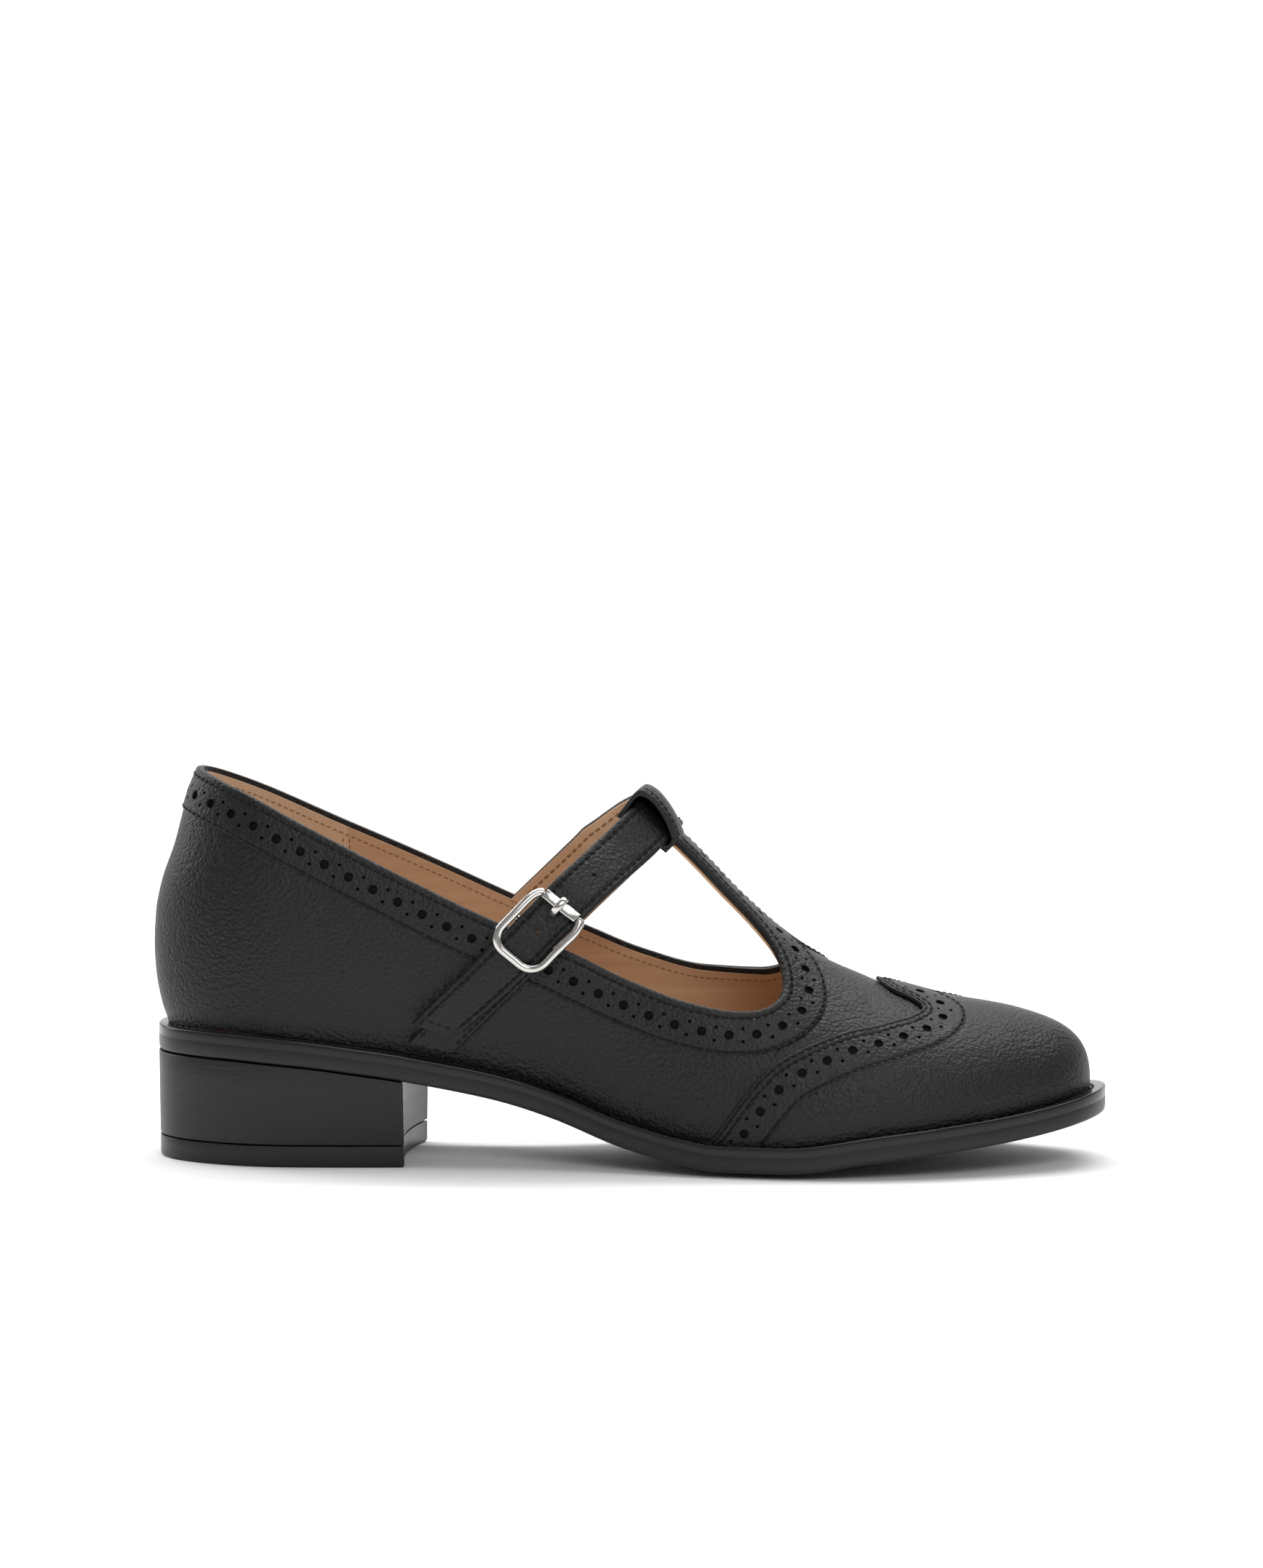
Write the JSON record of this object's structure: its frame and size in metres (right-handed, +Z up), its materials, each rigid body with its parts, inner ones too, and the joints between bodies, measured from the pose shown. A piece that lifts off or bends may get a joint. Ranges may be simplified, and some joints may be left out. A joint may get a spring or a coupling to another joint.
{
  "type": "t-strap shoe",
  "caption": "Right-foot T-strap shoe with a welted sole, low heel, wing cap, strap and buckle.",
  "frame": {"origin": "on the floor, on the heel's wearing face, under the middle of the foot's heel", "axes": "+X to the toe, +Y to the inner (big toe) side, +Z up"},
  "size_m": [0.2647, 0.086, 0.1088],
  "materials": {
    "upper_leather": "black fine-grained leather with a soft sheen",
    "sole": "black finished sole, welt and stacked heel",
    "lining": "smooth tan lining leather",
    "buckle_metal": "polished silver-coloured metal"
  },
  "bodies": {
    "root": {"outsole": "sole", "welt": "sole", "heel_block": "sole", "heel_top_piece": "sole", "insole": "lining", "upper": "upper_leather", "wing_cap": "upper_leather", "strap_loop": "upper_leather", "strap": "upper_leather", "buckle_tab": "upper_leather", "buckle_frame": "buckle_metal", "buckle_roller": "buckle_metal", "buckle_prong": "buckle_metal"}
  },
  "joints": []
}
